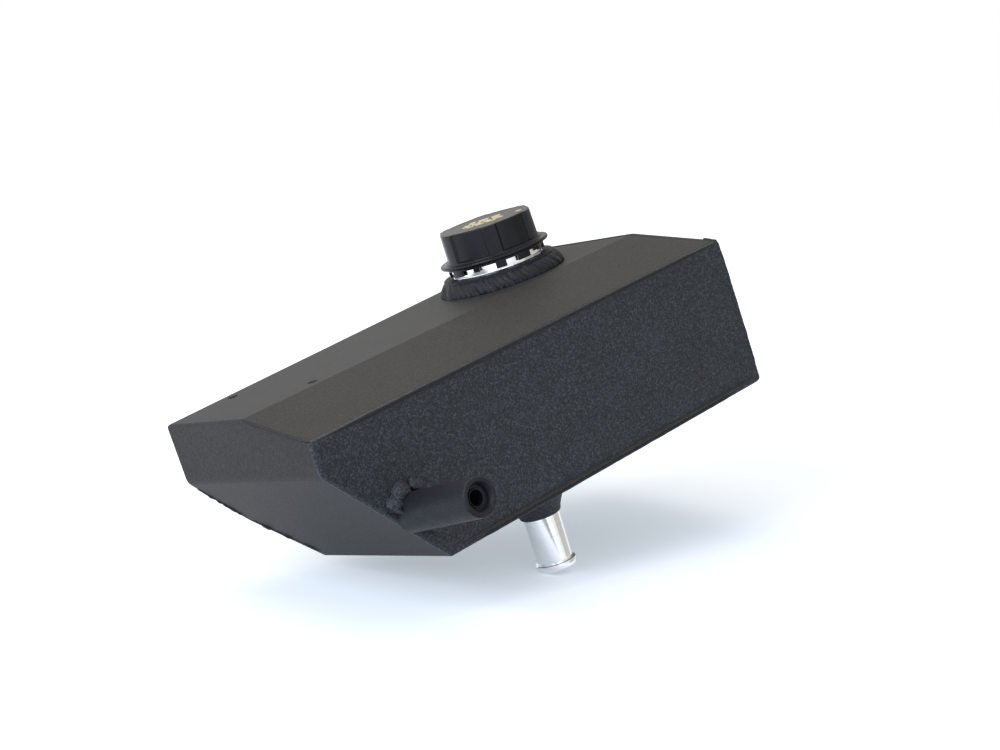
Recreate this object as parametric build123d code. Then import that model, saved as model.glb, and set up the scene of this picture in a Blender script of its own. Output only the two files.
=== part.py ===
from build123d import *
import math
import os

os.makedirs("parts", exist_ok=True)

# Coolant overflow tank: a welded sheet tank with a screwed filler cap on top,
# a hose spigot underneath and an angled vent port on the front.
# Lengths are millimetres. X runs from the left end to the right end,
# Y from the front to the back and Z up from the tank's flat bottom.

# Tank sheets
sheet = 3.0
tankLength = 300.0
topHeight = 97.3
bevelDrop = 14.5
bevelRun = 50.4
leftDepth = 119.6
backTaper = 0.0891
lowerBackHeight = 34.0
lowerBackRun = 16.0
endCornerHeight = 65.6
endDiagonalRun = 57.2
rightFacetRun = 13.2
foldRadius = 7.0
weldedEdgeRadius = 2.0

# Filler neck
neckFromEnd = 79.6
neckY = 92.7
boreRadius = 20.0
threadRadius = 23.5
bandRadius = 25.6
collarRadius = 32.2
collarHeight = 8.7
bandHeight = 6.0
neckHeight = 26.9
neckPlugRadius = 28.9
neckPlugDepth = 5.0
neckWeldRadius = 35.9
neckWeldHeight = 7.2

# Outlet under the tank
outletX = 140.3
outletY = 27.9
hoseRadius = 10.0
hoseWall = 2.0
spigotDrop = 42.5
spigotLipRadius = 11.2
spigotLipHeight = 4.0
spigotLipBreak = 0.4
bungRadius = 11.8
bungDrop = 12.0
bungReach = 4.0
spigotReach = 2.0
outletWeldLeg = 5.2
outletWeldHeight = 6.0

# Vent port on the front
portX = 43.0
portZ = 29.8
portLift = 7.3
portLength = 55.2
portSeatRadius = 7.4
portBoreRadius = 4.6
portSeatDepth = 2.8
portRimRound = 1.2
restrictorBore = 4.0
restrictorLength = 18.0
restrictorRecess = 3.6
portWeldLeg = 5.5
portWeldTrim = 1.5
portShoulderGap = 0.3
portTurnDown = 0.4

# Broken edges
turnedBreak = 0.8
bandBreak = 0.5
mouthBreak = 0.6
flangeBreak = 0.7

# Threaded mount inserts in the top
insertBore = 2.5
insertRadius = 6.0
insertDepth = 14.0
insertFloor = 2.0
foldInsertX = 52.8
foldInsertFromFold = 8.7
backInsertX = 39.5
backInsertFromBack = 10.1

# Cap, closed
flangeRadius = 31.5
flangeThickness = 2.0
capGap = 0.4
gripBaseRadius = 27.9
gripTopRadius = 27.0
gripHeight = 17.3
roofThickness = 2.5
topEdgeChamfer = 1.0
gripPanels = 6
gripPanelAngle = 42.0
gripPanelDepth = 1.3
gripPanelMargin = 1.2
gripRibTurn = -6.7
toothCount = 12
toothAngle = 13.0
toothDrop = 2.8
toothWall = 1.6
threadPitch = 4.0
threadTurns = 3.0

# Valve core inside the cap
plugRadius = 18.6
plugWall = 3.0
plugDrop = 17.2
coreFlangeRadius = 23.2
coreFlangeThickness = 1.1
seatRadius = 9.0
seatThickness = 2.0
ringSection = 1.3
ringSides = 12
ringDrop = 5.2
ringInset = 0.2
ringRoom = 0.1
snapDepth = 1.0
snapRoot = 0.5
snapHeight = 0.9
snapCount = 4
snapAngle = 24.0
gasketThickness = 1.5
ventHoleRadius = 0.8
coreVents = 4

# Valves and springs
plateRadius = 14.2
plateThickness = 1.5
valveGasketThickness = 1.2
valveGasketWidth = 4.3
hubRadius = 4.5
hubHeight = 2.0
stemRadius = 1.5
vacuumDiscRadius = 8.2
vacuumDiscThickness = 1.2
vacuumHeadRadius = 3.4
vacuumHeadThickness = 1.0
vacuumSpringLength = 4.0
vacuumWireRadius = 0.3
vacuumSpringTurns = 4.0
breatherRadius = 1.5
breatherCount = 4
springLength = 10.0
springRadius = 9.5
springWireRadius = 0.9
springTurns = 3.5
wireSides = 8
retainerThickness = 1.6
retainerEyeRadius = 4.6
pressureTravel = 3.0
vacuumTravel = 2.0

# Named clearances
weldGap = 0.1
runningGap = 0.1
softGap = 0.3

# Sheet inside the tank
baffleX = 170.0
baffleThickness = 2.0
baffleHoleRadius = 12.0
baffleFootHeight = 16.0
baffleFootWidth = 34.0

# Places that follow from the ones above
frontHeight = topHeight - bevelDrop
neckX = tankLength - neckFromEnd
neckTop = topHeight + neckHeight
collarTop = topHeight + collarHeight
bandTop = collarTop + bandHeight
flangeBottom = bandTop + capGap
gripBase = flangeBottom + flangeThickness
capTop = gripBase + gripHeight
roofUnderside = capTop - roofThickness
gasketBottom = neckTop + softGap
coreFlangeBottom = gasketBottom + gasketThickness
coreBottom = coreFlangeBottom - coreFlangeThickness - plugDrop
seatTop = coreBottom + seatThickness
valveGasketBottom = seatTop + softGap
plateBottom = valveGasketBottom + valveGasketThickness
plateTop = plateBottom + plateThickness
hubTop = plateTop + hubHeight
vacuumHeadBottom = hubTop + vacuumSpringLength
retainerBottom = plateTop + springLength
plugBore = plugRadius - plugWall
threadBore = threadRadius + runningGap
retainerTop = retainerBottom + retainerThickness
portSink = hoseRadius * 2 * math.tan(math.radians(portLift))
frameRise = spigotDrop - spigotLipHeight / 2
backInsertY = leftDepth + backTaper * backInsertX - backInsertFromBack
insertSpots = [(foldInsertX, bevelRun + foldInsertFromFold), (backInsertX, backInsertY)]

front = Vector(0, -1, 0)
left = Vector(-1, 0, 0)
right = Vector(1, 0, 0)
down = Vector(0, 0, -1)
up = Vector(0, 0, 1)
bevel = Vector(0, -bevelDrop, bevelRun).normalized()
back = Vector(-backTaper, 1, 0).normalized()
alongBack = Vector(1, backTaper, 0).normalized()
lowerBack = alongBack.cross(Vector(0, lowerBackRun, lowerBackHeight)).normalized() * -1
leftDiagonal = Vector(-endCornerHeight, 0, -endDiagonalRun).normalized()
rightFacet = Vector(bevelDrop, 0, rightFacetRun).normalized()

frontFace = (Vector(0, 0, 0), front)
leftFace = (Vector(0, 0, 0), left)
bottomFace = (Vector(0, 0, 0), down)
topFace = (Vector(0, 0, topHeight), up)
bevelFace = (Vector(0, 0, frontHeight), bevel)
backFace = (Vector(0, leftDepth, 0), back)
lowerBackFace = (Vector(0, leftDepth, lowerBackHeight), lowerBack)
leftDiagonalFace = (Vector(0, 0, endCornerHeight), leftDiagonal)
rightFace = (Vector(tankLength, 0, 0), right)
rightFacetFace = (Vector(tankLength, 0, frontHeight), rightFacet)
tankFaces = [frontFace, leftFace, bottomFace, topFace, bevelFace, backFace]
tankFaces += [lowerBackFace, leftDiagonalFace, rightFace, rightFacetFace]

folds = [(bevelFace, topFace), (backFace, lowerBackFace)]
folds += [(leftFace, leftDiagonalFace), (rightFace, rightFacetFace)]


# A big block around the tank, to be trimmed by its faces
def roughBlock():
    size = tankLength * 3
    middle = Pos(tankLength / 2, leftDepth / 2, topHeight / 2)
    return middle * Box(size, size, size)


# Everything on the inner side of a face that is moved inward by an inset
def trimTo(body, face, inset):
    point, outward = face
    plane = Plane(origin=point - outward * inset, z_dir=outward)
    return split(body, bisect_by=plane, keep=Keep.BOTTOM)


# The edges where two inset faces of a body meet
def edgesBetween(body, faceA, faceB, inset):
    found = ShapeList()
    for edge in body.edges():
        middle = edge.position_at(0.5)
        offA = (middle - faceA[0]).dot(faceA[1]) + inset
        offB = (middle - faceB[0]).dot(faceB[1]) + inset
        if abs(offA) < 0.001 and abs(offB) < 0.001:
            found.append(edge)
    return found


# A block bounded by some of the tank's faces, its folds rounded
def foldedBlock(faces, inset):
    body = roughBlock()
    for face in faces:
        body = trimTo(body, face, inset)
    for faceA, faceB in folds:
        if faceA in faces and faceB in faces:
            edges = edgesBetween(body, faceA, faceB, inset)
            body = fillet(edges, foldRadius - inset)
    return body


# The outside of the tank, welded edges rounded as well
def tankOutside():
    body = roughBlock()
    for face in tankFaces:
        body = trimTo(body, face, 0)
    foldEdges = ShapeList()
    for faceA, faceB in folds:
        foldEdges += edgesBetween(body, faceA, faceB, 0)
    body = fillet(foldEdges, foldRadius)
    welded = ShapeList()
    for edge in body.edges():
        middle = edge.position_at(0.5)
        touching = 0
        for point, outward in tankFaces:
            if abs((middle - point).dot(outward)) < 0.001:
                touching += 1
        if touching == 2:
            welded.append(edge)
    return fillet(welded, weldedEdgeRadius)


# A turned shape from its outline of radius and height pairs
def turned(outline):
    flat = make_face(Polyline(*[(r, 0, z) for r, z in outline], close=True))
    return revolve(flat, Axis.Z, 360)


def sector(radius, height, startAngle, sweepAngle):
    reach = radius * 3
    a = math.radians(startAngle)
    b = math.radians(startAngle + sweepAngle / 2)
    c = math.radians(startAngle + sweepAngle)
    corners = [(0, 0), (reach * math.cos(a), reach * math.sin(a))]
    corners += [(reach * math.cos(b), reach * math.sin(b))]
    corners += [(reach * math.cos(c), reach * math.sin(c))]
    return extrude(make_face(Polyline(*corners, close=True)), height)


portPlace = Pos(portX, 0, portZ) * Rot(90 - portLift, 0, 0)
neckPlace = Pos(neckX, neckY, 0)
outletPlace = Pos(outletX, outletY, 0)


def portHole():
    return portPlace * Cylinder(portBoreRadius, portLength)


def neckHole():
    place = Pos(neckX, neckY, topHeight)
    return place * Cylinder(neckPlugRadius + weldGap, sheet * 4)


def outletHole():
    return outletPlace * Cylinder(bungRadius + weldGap, sheet * 4)


def insertHoles():
    holes = []
    for x, y in insertSpots:
        middle = Pos(x, y, topHeight)
        holes.append(middle * Cylinder(insertRadius + weldGap, insertDepth * 3))
    return holes


# The six sheets of the tank, cut one after the other from the hollow shell
def tankPanels():
    outside = tankOutside()
    inside = foldedBlock(tankFaces, sheet)
    shell = outside - inside
    frontBlock = trimTo(roughBlock(), frontFace, sheet)
    leftBlock = foldedBlock([leftFace, leftDiagonalFace], sheet)
    rightBlock = foldedBlock([rightFace, rightFacetFace], sheet)
    bottomBlock = trimTo(roughBlock(), bottomFace, sheet)
    backBlock = foldedBlock([backFace, lowerBackFace], sheet)
    frontPanel = shell - frontBlock
    rest = shell & frontBlock
    leftPanel = rest - leftBlock
    rest = rest & leftBlock
    rightPanel = rest - rightBlock
    rest = rest & rightBlock
    bottomPanel = rest - bottomBlock
    rest = rest & bottomBlock
    backPanel = rest - backBlock
    topPanel = rest & backBlock
    frontPanel = frontPanel - portHole()
    bottomPanel = bottomPanel - outletHole()
    topPanel = topPanel - neckHole()
    for hole in insertHoles():
        topPanel = topPanel - hole
    return frontPanel, leftPanel, rightPanel, bottomPanel, backPanel, topPanel, inside


# Slosh plate across the tank with flow holes and a drain notch
def bafflePlate(inside):
    middle = Pos(baffleX, leftDepth / 2, topHeight / 2)
    plate = inside & (middle * Box(baffleThickness, leftDepth * 2, topHeight * 2))
    for step in (0.3, 0.7):
        across = Pos(baffleX, leftDepth * step, topHeight / 2) * Rot(0, 90, 0)
        plate = plate - across * Cylinder(baffleHoleRadius, baffleThickness * 3)
    foot = Box(baffleThickness * 3, baffleFootWidth, baffleFootHeight * 2)
    return plate - Pos(baffleX, leftDepth / 2, 0) * foot


def fillerNeck():
    outline = [(boreRadius, topHeight - neckPlugDepth), (neckPlugRadius, topHeight - neckPlugDepth)]
    outline += [(neckPlugRadius, topHeight), (collarRadius, topHeight)]
    outline += [(collarRadius, collarTop - turnedBreak), (collarRadius - turnedBreak, collarTop)]
    outline += [(bandRadius, collarTop), (bandRadius, bandTop - bandBreak)]
    outline += [(bandRadius - bandBreak, bandTop), (threadRadius, bandTop)]
    outline += [(threadRadius, neckTop - turnedBreak), (threadRadius - turnedBreak, neckTop)]
    outline += [(boreRadius + mouthBreak, neckTop), (boreRadius, neckTop - mouthBreak)]
    return neckPlace * turned(outline)


# The sunk belly and both toes of a weld between a round part and a plate
def weldRing(innerRadius, outerRadius, height):
    run = outerRadius - innerRadius
    outline = [(innerRadius, 0), (outerRadius, 0), (outerRadius - run * 0.12, height * 0.12)]
    outline += [(innerRadius + run * 0.42, height * 0.5), (innerRadius + run * 0.12, height * 0.88)]
    outline += [(innerRadius, height)]
    return turned(outline)


def neckWeld():
    place = Pos(neckX, neckY, topHeight)
    return place * weldRing(collarRadius, neckWeldRadius, neckWeldHeight)


def outletWeld():
    ring = weldRing(bungRadius, bungRadius + outletWeldLeg, outletWeldHeight)
    return outletPlace * Rot(180, 0, 0) * ring


# The port leans, so its weld is cut where it meets the front sheet
def ventWeld():
    inner = hoseRadius - portTurnDown + weldGap
    ring = weldRing(inner, hoseRadius + portWeldLeg, portWeldLeg + portSink)
    ring = portPlace * Pos(0, 0, -portSink) * ring
    ring = split(ring, bisect_by=Plane(origin=frontFace[0], z_dir=front), keep=Keep.TOP)
    return trimTo(ring, leftDiagonalFace, portWeldTrim)


def outletBung():
    outline = [(hoseRadius + weldGap, -bungDrop), (bungRadius - turnedBreak, -bungDrop)]
    outline += [(bungRadius, -bungDrop + turnedBreak), (bungRadius, bungReach)]
    outline += [(hoseRadius + weldGap, bungReach)]
    return outletPlace * turned(outline)


def outletSpigot():
    inner = hoseRadius - hoseWall
    lipTop = -spigotDrop + spigotLipHeight
    outline = [(inner, -spigotDrop), (spigotLipRadius - spigotLipBreak, -spigotDrop)]
    outline += [(spigotLipRadius, -spigotDrop + spigotLipBreak)]
    outline += [(spigotLipRadius, lipTop - spigotLipBreak), (spigotLipRadius - spigotLipBreak, lipTop)]
    outline += [(hoseRadius, lipTop), (hoseRadius, spigotReach), (inner, spigotReach)]
    return outletPlace * turned(outline)


# The tube is turned down a little under its weld
def ventPort():
    mouth = portLength
    seat = mouth - portSeatDepth
    shoulder = portWeldLeg + portShoulderGap
    rootRadius = hoseRadius - portTurnDown
    outline = [(portBoreRadius, -portSink), (rootRadius, -portSink)]
    outline += [(rootRadius, shoulder), (hoseRadius, shoulder)]
    outline += [(hoseRadius, mouth - portRimRound)]
    outline += [(hoseRadius - portRimRound * 0.3, mouth - portRimRound * 0.3)]
    outline += [(hoseRadius - portRimRound, mouth), (portSeatRadius, mouth)]
    outline += [(portBoreRadius, seat)]
    tube = portPlace * turned(outline)
    return split(tube, bisect_by=Plane(origin=frontFace[0], z_dir=front), keep=Keep.TOP)


def ventRestrictor():
    outerEnd = portLength - restrictorRecess
    innerEnd = outerEnd - restrictorLength
    radius = portBoreRadius - weldGap
    outline = [(restrictorBore, innerEnd), (radius, innerEnd), (radius, outerEnd)]
    outline += [(restrictorBore, outerEnd)]
    return portPlace * turned(outline)


# A blind threaded bung let into the top sheet and dressed flush
def mountInsert(x, y):
    top = topHeight
    bottom = top - insertDepth
    outline = [(0, bottom), (insertRadius, bottom), (insertRadius, top), (insertBore + bandBreak, top)]
    outline += [(insertBore, top - bandBreak), (insertBore, bottom + insertFloor)]
    outline += [(0, bottom + insertFloor)]
    return Pos(x, y, 0) * turned(outline)


# Grip with panels open to its top edge, flange and the ring of teeth under it, all one moulding
def capShell():
    outline = [(threadBore, flangeBottom), (flangeRadius - flangeBreak, flangeBottom)]
    outline += [(flangeRadius, flangeBottom + flangeBreak), (flangeRadius, gripBase - flangeBreak)]
    outline += [(flangeRadius - flangeBreak, gripBase), (gripBaseRadius, gripBase)]
    outline += [(gripTopRadius, capTop - topEdgeChamfer), (gripTopRadius - topEdgeChamfer, capTop)]
    outline += [(0, capTop), (0, roofUnderside), (threadBore, roofUnderside)]
    body = turned(outline)
    recessBase = gripBase + gripPanelMargin
    recessHeight = gripHeight
    around = Cylinder(gripBaseRadius * 2, recessHeight) - Cylinder(gripTopRadius - gripPanelDepth, recessHeight)
    around = Pos(0, 0, recessBase + recessHeight / 2) * around
    for step in range(gripPanels):
        start = gripRibTurn + (360 / gripPanels - gripPanelAngle) / 2 + step * 360 / gripPanels
        wedge = Pos(0, 0, recessBase) * sector(gripBaseRadius, recessHeight, start, gripPanelAngle)
        body = body - (around & wedge)
    toothInner = gripBaseRadius - toothWall
    ring = Cylinder(gripBaseRadius, toothDrop) - Cylinder(toothInner, toothDrop)
    ring = Pos(0, 0, flangeBottom - toothDrop / 2) * ring
    for step in range(toothCount):
        start = step * 360 / toothCount + gripRibTurn - toothAngle / 2
        wedge = Pos(0, 0, flangeBottom - toothDrop) * sector(gripBaseRadius, toothDrop, start, toothAngle)
        body = body + (ring & wedge)
    snapTop = coreFlangeBottom - softGap
    snaps = Cylinder(threadBore + snapRoot, snapHeight) - Cylinder(threadBore - snapDepth, snapHeight)
    snaps = Pos(0, 0, snapTop - snapHeight / 2) * snaps
    for step in range(snapCount):
        start = step * 360 / snapCount
        wedge = Pos(0, 0, snapTop - snapHeight) * sector(threadBore, snapHeight, start, snapAngle)
        body = body + (snaps & wedge)
    return neckPlace * body


# Plug that hangs in the neck and carries both valves
def capCore():
    flangeTop = coreFlangeBottom + coreFlangeThickness
    grooveMiddle = coreFlangeBottom - ringDrop
    grooveRoot = plugRadius - ringInset - ringSection - ringRoom / 2
    outline = [(seatRadius, coreBottom), (plugRadius - 1, coreBottom), (plugRadius, coreBottom + 1)]
    grooveLow = grooveMiddle - ringSection - ringRoom
    grooveHigh = grooveMiddle + ringSection + ringRoom
    outline += [(plugRadius, grooveLow), (grooveRoot, grooveLow)]
    outline += [(grooveRoot, grooveHigh), (plugRadius, grooveHigh), (plugRadius, coreFlangeBottom)]
    outline += [(coreFlangeRadius, coreFlangeBottom), (coreFlangeRadius, flangeTop)]
    outline += [(plugBore, flangeTop), (plugBore, seatTop), (seatRadius, seatTop)]
    body = turned(outline)
    ventHeight = (retainerTop + coreFlangeBottom) / 2
    for step in range(coreVents):
        turn = Rot(0, 0, 45 + step * 360 / coreVents)
        body = body - turn * Pos(plugRadius, 0, ventHeight) * Rot(0, 90, 0) * Cylinder(ventHoleRadius, plugRadius)
    return neckPlace * body


def coreRing():
    section = Pos(plugRadius - ringInset, 0, 0) * Rot(90, 0, 0) * RegularPolygon(ringSection, ringSides)
    middle = Pos(neckX, neckY, coreFlangeBottom - ringDrop)
    return middle * revolve(section, Axis.Z, 360)


def capGasket():
    height = gasketThickness
    ring = Cylinder(threadBore - snapDepth - softGap, height) - Cylinder(boreRadius + softGap, height)
    return Pos(neckX, neckY, gasketBottom + height / 2) * ring


# Sprung plate with a hub in the middle and breather holes under the small valve
def pressureValve():
    outline = [(stemRadius + runningGap, plateBottom), (plateRadius, plateBottom)]
    outline += [(plateRadius, plateTop - bandBreak), (plateRadius - bandBreak, plateTop), (hubRadius, plateTop)]
    outline += [(hubRadius, hubTop), (stemRadius + runningGap, hubTop)]
    body = turned(outline)
    spot = (hubRadius + vacuumDiscRadius) / 2
    for step in range(breatherCount):
        turn = Rot(0, 0, step * 360 / breatherCount)
        body = body - turn * Pos(spot, 0, plateBottom) * Cylinder(breatherRadius, plateThickness * 3)
    return neckPlace * body


def pressureGasket():
    height = valveGasketThickness
    inner = seatRadius + softGap
    ring = Cylinder(inner + valveGasketWidth, height) - Cylinder(inner, height)
    return Pos(neckX, neckY, valveGasketBottom + height / 2) * ring


def vacuumValve():
    top = plateBottom - softGap
    headTop = vacuumHeadBottom + vacuumHeadThickness
    outline = [(0, top - vacuumDiscThickness), (vacuumDiscRadius, top - vacuumDiscThickness)]
    outline += [(vacuumDiscRadius, top), (stemRadius, top), (stemRadius, vacuumHeadBottom)]
    outline += [(vacuumHeadRadius, vacuumHeadBottom), (vacuumHeadRadius, headTop), (0, headTop)]
    return neckPlace * turned(outline)


def springRetainer():
    outline = [(retainerEyeRadius, retainerBottom), (plugBore - weldGap, retainerBottom)]
    outline += [(plugBore - weldGap, retainerTop), (retainerEyeRadius, retainerTop)]
    body = turned(outline)
    spot = (springRadius + springWireRadius + plugBore) / 2
    for step in range(breatherCount):
        turn = Rot(0, 0, 45 + step * 360 / breatherCount)
        body = body - turn * Pos(spot, 0, retainerBottom) * Cylinder(breatherRadius, retainerThickness * 3)
    return neckPlace * body


# A wire coil standing between two flat seats
def coil(radius, wire, length, turns, bottom):
    start = bottom + wire
    rise = length - 2 * wire
    path = Pos(0, 0, start) * Helix(pitch=rise / turns, height=rise, radius=radius)
    section = Plane(origin=path @ 0, z_dir=path % 0) * RegularPolygon(wire, wireSides)
    return neckPlace * sweep(section, path=path, is_frenet=True)


def pressureSpring():
    return coil(springRadius, springWireRadius, springLength, springTurns, plateTop)


def vacuumSpring():
    middle = (stemRadius + vacuumHeadRadius) / 2
    return coil(middle, vacuumWireRadius, vacuumSpringLength, vacuumSpringTurns, hubTop)


# The shared frame has its zero on the spigot's axis, halfway up the lip at its open end
def save(body, name):
    placed = Pos(-outletX, -outletY, frameRise) * body
    solids = placed.solids()
    volume = sum(solid.volume for solid in solids)
    print(name, len(solids), "solid", round(volume, 1), "mm3")
    shape = solids[0] if len(solids) == 1 else Compound(children=list(solids))
    shape.label = name
    export_step(shape, "parts/" + name + ".step")


frontPanel, leftPanel, rightPanel, bottomPanel, backPanel, topPanel, inside = tankPanels()
save(frontPanel, "front_panel")
save(leftPanel, "left_end_panel")
save(rightPanel, "right_end_panel")
save(bottomPanel, "bottom_panel")
save(backPanel, "back_panel")
save(topPanel, "top_panel")
save(bafflePlate(inside), "baffle_plate")
save(fillerNeck(), "filler_neck")
save(neckWeld(), "neck_weld")
save(outletBung(), "outlet_bung")
save(outletWeld(), "outlet_weld")
save(outletSpigot(), "outlet_spigot")
save(ventPort(), "vent_port")
save(ventWeld(), "vent_weld")
save(ventRestrictor(), "vent_restrictor")
for number, spot in enumerate(insertSpots):
    save(mountInsert(*spot), "mount_insert_" + str(number + 1))
save(capShell(), "cap_shell")
save(capCore(), "cap_core")
save(coreRing(), "core_ring")
save(capGasket(), "cap_gasket")
save(pressureValve(), "pressure_valve")
save(pressureGasket(), "pressure_gasket")
save(pressureSpring(), "pressure_spring")
save(vacuumValve(), "vacuum_valve")
save(vacuumSpring(), "vacuum_spring")
save(springRetainer(), "spring_retainer")
print("cap lifts", threadPitch * threadTurns, "mm in", threadTurns, "turns")
print("pressure valve opens", pressureTravel, "mm, its spring hangs from", retainerBottom + frameRise)
print("vacuum valve opens", vacuumTravel, "mm, its spring stands on", hubTop + frameRise)
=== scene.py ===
import bpy
import bmesh
import math
import random
from mathutils import Matrix, Vector


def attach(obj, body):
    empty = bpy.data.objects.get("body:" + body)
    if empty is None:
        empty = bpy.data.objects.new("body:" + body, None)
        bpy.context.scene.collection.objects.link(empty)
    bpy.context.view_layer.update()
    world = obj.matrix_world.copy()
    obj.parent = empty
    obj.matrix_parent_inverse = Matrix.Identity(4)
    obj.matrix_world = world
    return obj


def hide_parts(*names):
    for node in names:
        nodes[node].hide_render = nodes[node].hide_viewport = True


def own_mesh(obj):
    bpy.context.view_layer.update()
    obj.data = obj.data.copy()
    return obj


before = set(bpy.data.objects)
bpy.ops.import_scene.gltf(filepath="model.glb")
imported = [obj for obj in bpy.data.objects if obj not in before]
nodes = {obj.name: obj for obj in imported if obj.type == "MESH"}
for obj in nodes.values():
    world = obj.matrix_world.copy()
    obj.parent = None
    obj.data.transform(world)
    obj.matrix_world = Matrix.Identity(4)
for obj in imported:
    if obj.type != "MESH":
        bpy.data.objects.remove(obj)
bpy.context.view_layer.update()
mm = 0.001

# Points of a mesh closer than this become one: in pieces modelled here and in copies of CAD nodes
mergeGap = {"modelled": 0.002, "copied": 0.005}

# The tank's sizes and the places of its parts in millimetres, from its front left bottom corner.
# The left end slopes in below cornerHeight and meets the bottom diagonalRun further along.
tank = {"zero": (-140.3, -27.9, 40.5), "length": 300.0, "depth": 119.6, "topHeight": 97.3,
        "cornerHeight": 65.6, "diagonalRun": 57.2}
neck = {"x": 220.4, "y": 92.7}
outlet = {"x": 140.3, "y": 27.9}
port = {"x": 43.0, "z": 29.8, "lift": 7.3}


def place(x, y, z):
    return (Vector((x, y, z)) + Vector(tank["zero"])) * mm


def linearColour(hexCode):
    values = [int(hexCode[i:i + 2], 16) / 255 for i in (0, 2, 4)]
    return [v / 12.92 if v <= 0.04045 else ((v + 0.055) / 1.055) ** 2.4 for v in values] + [1.0]


# Selects one piece alone, or nothing at all
def pick(piece=None):
    if bpy.context.object and bpy.context.object.mode != "OBJECT":
        bpy.ops.object.mode_set(mode="OBJECT")
    bpy.ops.object.select_all(action="DESELECT")
    if piece:
        piece.select_set(True)
        bpy.context.view_layer.objects.active = piece


def startEdit(piece, mode="FACE"):
    pick(piece)
    bpy.ops.object.mode_set(mode="EDIT")
    bpy.ops.mesh.select_mode(type=mode)


# Selects the faces whose middle passes a test
def selectFaces(piece, test):
    bpy.ops.mesh.select_all(action="DESELECT")
    mesh = bmesh.from_edit_mesh(piece.data)
    for face in mesh.faces:
        if test(face.calc_center_median()):
            face.select_set(True)
    bmesh.update_edit_mesh(piece.data)


def selectPoints(piece, test):
    bpy.ops.mesh.select_all(action="DESELECT")
    mesh = bmesh.from_edit_mesh(piece.data)
    for point in mesh.verts:
        point.select_set(test(point.co))
    mesh.select_flush_mode()
    bmesh.update_edit_mesh(piece.data)


# Merges a modelled piece's doubled points and turns its faces outwards
def closeMesh(piece):
    startEdit(piece, "VERT")
    bpy.ops.mesh.select_all(action="SELECT")
    bpy.ops.mesh.remove_doubles(threshold=mergeGap["modelled"] * mm)
    bpy.ops.mesh.normals_make_consistent(inside=False)
    pick(piece)


def applyModifier(piece, kind, **settings):
    pick(piece)
    modifier = piece.modifiers.new(kind.lower(), kind)
    for key, value in settings.items():
        setattr(modifier, key, value)
    bpy.ops.object.modifier_apply(modifier=modifier.name)


# Puts a piece in its place and moves that place into its mesh
def applyPlace(piece, matrix):
    pick(piece)
    piece.matrix_world = matrix
    bpy.ops.object.transform_apply(location=True, rotation=True, scale=True)


# A copy with its own mesh
def copyPiece(piece, name):
    twin = bpy.data.objects.new(name, piece.data.copy())
    bpy.context.scene.collection.objects.link(twin)
    return twin


def joinPieces(name, parts):
    pick(parts[0])
    for part in parts:
        part.select_set(True)
    bpy.ops.object.join()
    piece = bpy.context.object
    piece.name = name
    return piece


# A round piece about an upright axis: a ring, extruded to each next radius and height of its outline.
# A solid one starts and ends in a flat disc, any other comes back to its first ring.
def turnPiece(name, centre, outline, steps=96, solid=False):
    pick()
    radius, height = outline[0]
    bpy.ops.mesh.primitive_circle_add(vertices=steps, radius=radius * mm,
                                      fill_type="NGON" if solid else "NOTHING",
                                      location=centre + Vector((0, 0, height * mm)))
    piece = bpy.context.object
    piece.name = name
    bpy.ops.object.transform_apply(location=True)
    startEdit(piece, "VERT")
    bpy.ops.mesh.select_all(action="SELECT")
    for nextRadius, nextHeight in outline[1:] + ([] if solid else outline[:1]):
        share = nextRadius / radius
        rise = (nextHeight - height) * mm
        bpy.ops.mesh.extrude_region_move(TRANSFORM_OT_translate={"value": (0, 0, rise)})
        bpy.ops.transform.resize(value=(share, share, 1), center_override=centre)
        radius, height = nextRadius, nextHeight
    closeMesh(piece)
    return piece


# A wire or ridge wound about an upright axis, its ends closed. The section is its half width and half height.
def windPiece(name, centre, radius, section, sides, rise, turns, stepsPerTurn):
    pick()
    bpy.ops.mesh.primitive_circle_add(vertices=sides, radius=mm, location=centre)
    piece = bpy.context.object
    piece.name = name
    startEdit(piece, "VERT")
    bpy.ops.mesh.select_all(action="SELECT")
    bpy.ops.transform.rotate(value=math.pi / 2, orient_axis="X", center_override=centre)
    bpy.ops.transform.resize(value=(section[0], 1, section[1]), center_override=centre)
    bpy.ops.transform.translate(value=(radius * mm, 0, 0))
    count = int(stepsPerTurn * turns)
    applyModifier(piece, "SCREW", angle=math.radians(360 * turns), screw_offset=rise * mm,
                  steps=count, render_steps=count)
    bpy.ops.object.transform_apply(location=True)
    startEdit(piece, "VERT")
    bpy.ops.mesh.select_all(action="SELECT")
    bpy.ops.mesh.fill_holes(sides=0)
    closeMesh(piece)
    return piece


# Cuts a piece along a plane and closes it again; what lies on the side of the way out is dropped
def trimPiece(piece, spot, wayOut):
    startEdit(piece)
    bpy.ops.mesh.select_all(action="SELECT")
    bpy.ops.mesh.bisect(plane_co=spot, plane_no=wayOut, use_fill=True, clear_outer=True)
    pick(piece)


# Smooths a piece, gives it its finish and hangs it on its body
def finishPiece(piece, body, materials, replaced=(), angle=32):
    pick(piece)
    bpy.ops.object.shade_smooth_by_angle(angle=math.radians(angle))
    applyModifier(piece, "WEIGHTED_NORMAL", weight=50, keep_sharp=True)
    piece.data.materials.clear()
    for material in materials:
        piece.data.materials.append(material)
    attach(piece, body)
    if replaced:
        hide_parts(*replaced)


# Gives the faces that pass a test the piece's second finish
def coatFaces(piece, test):
    startEdit(piece)
    selectFaces(piece, test)
    piece.active_material_index = 1
    bpy.ops.object.material_slot_assign()
    pick(piece)


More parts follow.
